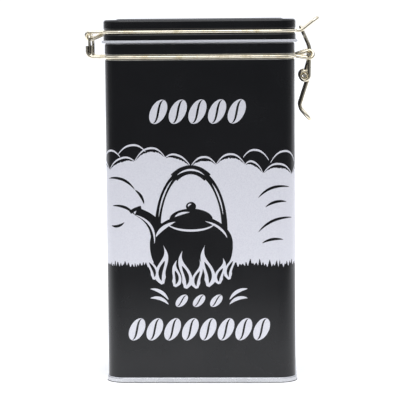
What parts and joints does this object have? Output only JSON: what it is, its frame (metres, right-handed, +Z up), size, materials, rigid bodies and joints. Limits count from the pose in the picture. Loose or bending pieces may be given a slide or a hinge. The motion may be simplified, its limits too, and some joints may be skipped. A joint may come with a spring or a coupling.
{
  "type": "coffee tin",
  "caption": "Tall rectangular tinplate coffee tin with rounded corners, a hinged lid, a silicone seal and an over-centre wire clip latch.",
  "frame": {"origin": "middle of the base, on the surface that the tin stands on", "axes": "+Z up, +X from the hinge side to the latch side, +Y from the printed front to the back"},
  "size_m": [0.1322, 0.0794, 0.2029],
  "materials": {
    "black_lacquer": "satin black lacquer over tinplate, with a white print on the body",
    "tinplate": "bright bare tinplate",
    "brassed_wire": "pale brass-plated steel wire, bright drawn",
    "silicone": "translucent cool grey silicone"
  },
  "bodies": {
    "tin": {"tin_wall": "black_lacquer", "bottom_end": "tinplate", "base_wire": "brassed_wire", "hinge_staple": "brassed_wire"},
    "lid": {"lid_shell": "black_lacquer", "lid_pan": "tinplate", "seal_ring": "silicone", "lid_wire": "brassed_wire"},
    "lever": {"latch_lever": "brassed_wire"},
    "link": {"latch_link": "brassed_wire"}
  },
  "joints": [
    {"name": "lid_hinge", "type": "hinge", "parent": "tin", "child": "lid", "pos_m": [-0.0627, 0, 0.19275], "axis": [0, -1, 0], "range_deg": [0, 205]},
    {"name": "lever_swing", "type": "hinge", "parent": "tin", "child": "lever", "pos_m": [0.0609, 0, 0.18155], "axis": [0, -1, 0], "range_deg": [0, 150]},
    {"name": "link_swing", "type": "hinge", "parent": "lever", "child": "link", "pos_m": [0.05834, 0, 0.16952], "axis": [0, -1, 0], "range_deg": [-150, 0]}
  ],
  "couplings": [
    {"joint": "link_swing", "follows": "lever_swing", "ratio": -1}
  ]
}
